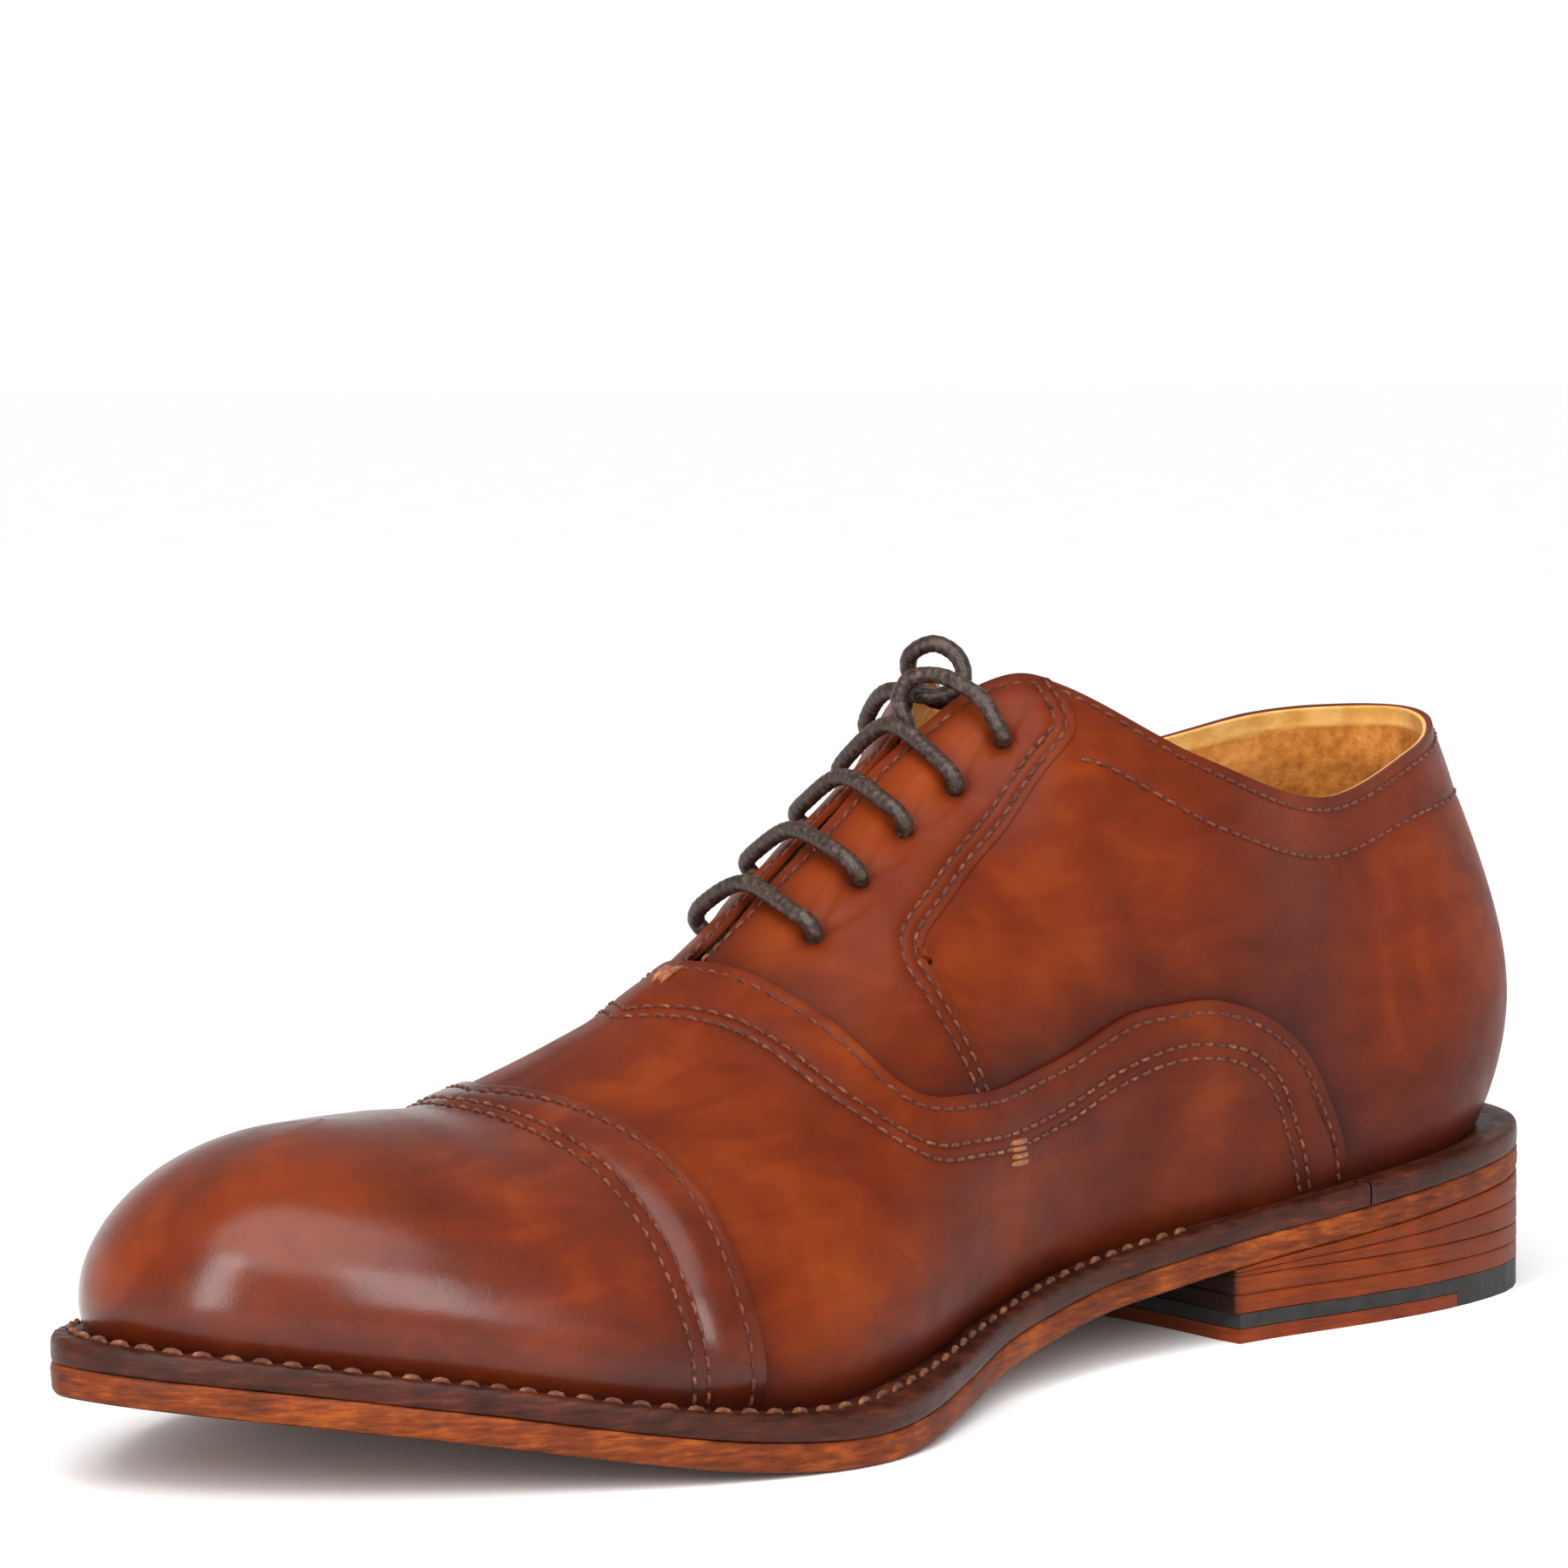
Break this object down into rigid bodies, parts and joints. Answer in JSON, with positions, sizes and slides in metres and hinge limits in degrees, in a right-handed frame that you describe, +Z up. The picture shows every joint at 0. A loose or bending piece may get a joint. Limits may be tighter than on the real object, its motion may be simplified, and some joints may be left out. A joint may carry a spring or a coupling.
{
  "type": "oxford shoe",
  "caption": "Left leather cap-toe oxford shoe, chestnut calf upper, closed lacing, welted leather sole and stacked heel.",
  "frame": {"origin": "bottom centre of the bounding box: on the ground, under the middle of the shoe", "axes": "-X towards the toe, -Y towards the outer side of the foot, +Z up"},
  "size_m": [0.302, 0.1089, 0.1194],
  "materials": {
    "toe_cap": "polished calf, darkened towards the toe",
    "upper": "polished chestnut calf with dark burnished seams",
    "lining": "unfinished golden tan lining leather",
    "outsole": "waxed cut edge of natural sole leather",
    "welt": "dark brown stained welt",
    "heel": "stacked natural leather with a waxed edge",
    "top_piece": "matt black rubber",
    "lace": "waxed dark brown round cotton cord",
    "thread": "light brown waxed linen thread",
    "eyelets": "plain brass, hidden under the facings",
    "shank": "plain spring steel strip",
    "filler": "cork granules in a binder",
    "aglets": "dark brown sheathed lace tips"
  },
  "bodies": {
    "shoe": {"outsole": "outsole", "welt": "welt", "heel_rand": "welt", "welt_stitches": "thread", "heel_lift_1": "heel", "heel_lift_2": "heel", "heel_lift_3": "heel", "heel_lift_4": "heel", "top_piece": "top_piece", "top_piece_inlay": "heel", "heel_nails": "shank", "cork_filler": "filler", "shank": "shank", "insole": "heel", "sock_liner": "lining", "toe_puff": "lining", "heel_counter": "lining", "vamp_lining": "lining", "outer_quarter_lining": "lining", "inner_quarter_lining": "lining", "outer_quarter": "upper", "inner_quarter": "upper", "outer_facing": "upper", "inner_facing": "upper", "vamp": "upper", "toe_cap": "toe_cap", "blind_eyelets": "eyelets", "lace": "lace", "aglets": "aglets", "throat_tack": "thread", "side_tacks": "thread"},
    "tongue": {"tongue": "upper", "tongue_lining": "lining"}
  },
  "joints": [
    {"name": "tongue_fold", "type": "hinge", "parent": "shoe", "child": "tongue", "pos_m": [-0.0265, 0.00975, 0.0615], "axis": [0, 1, 0], "range_deg": [0, 10], "stiffness_Nm_per_rad": 0.05}
  ]
}
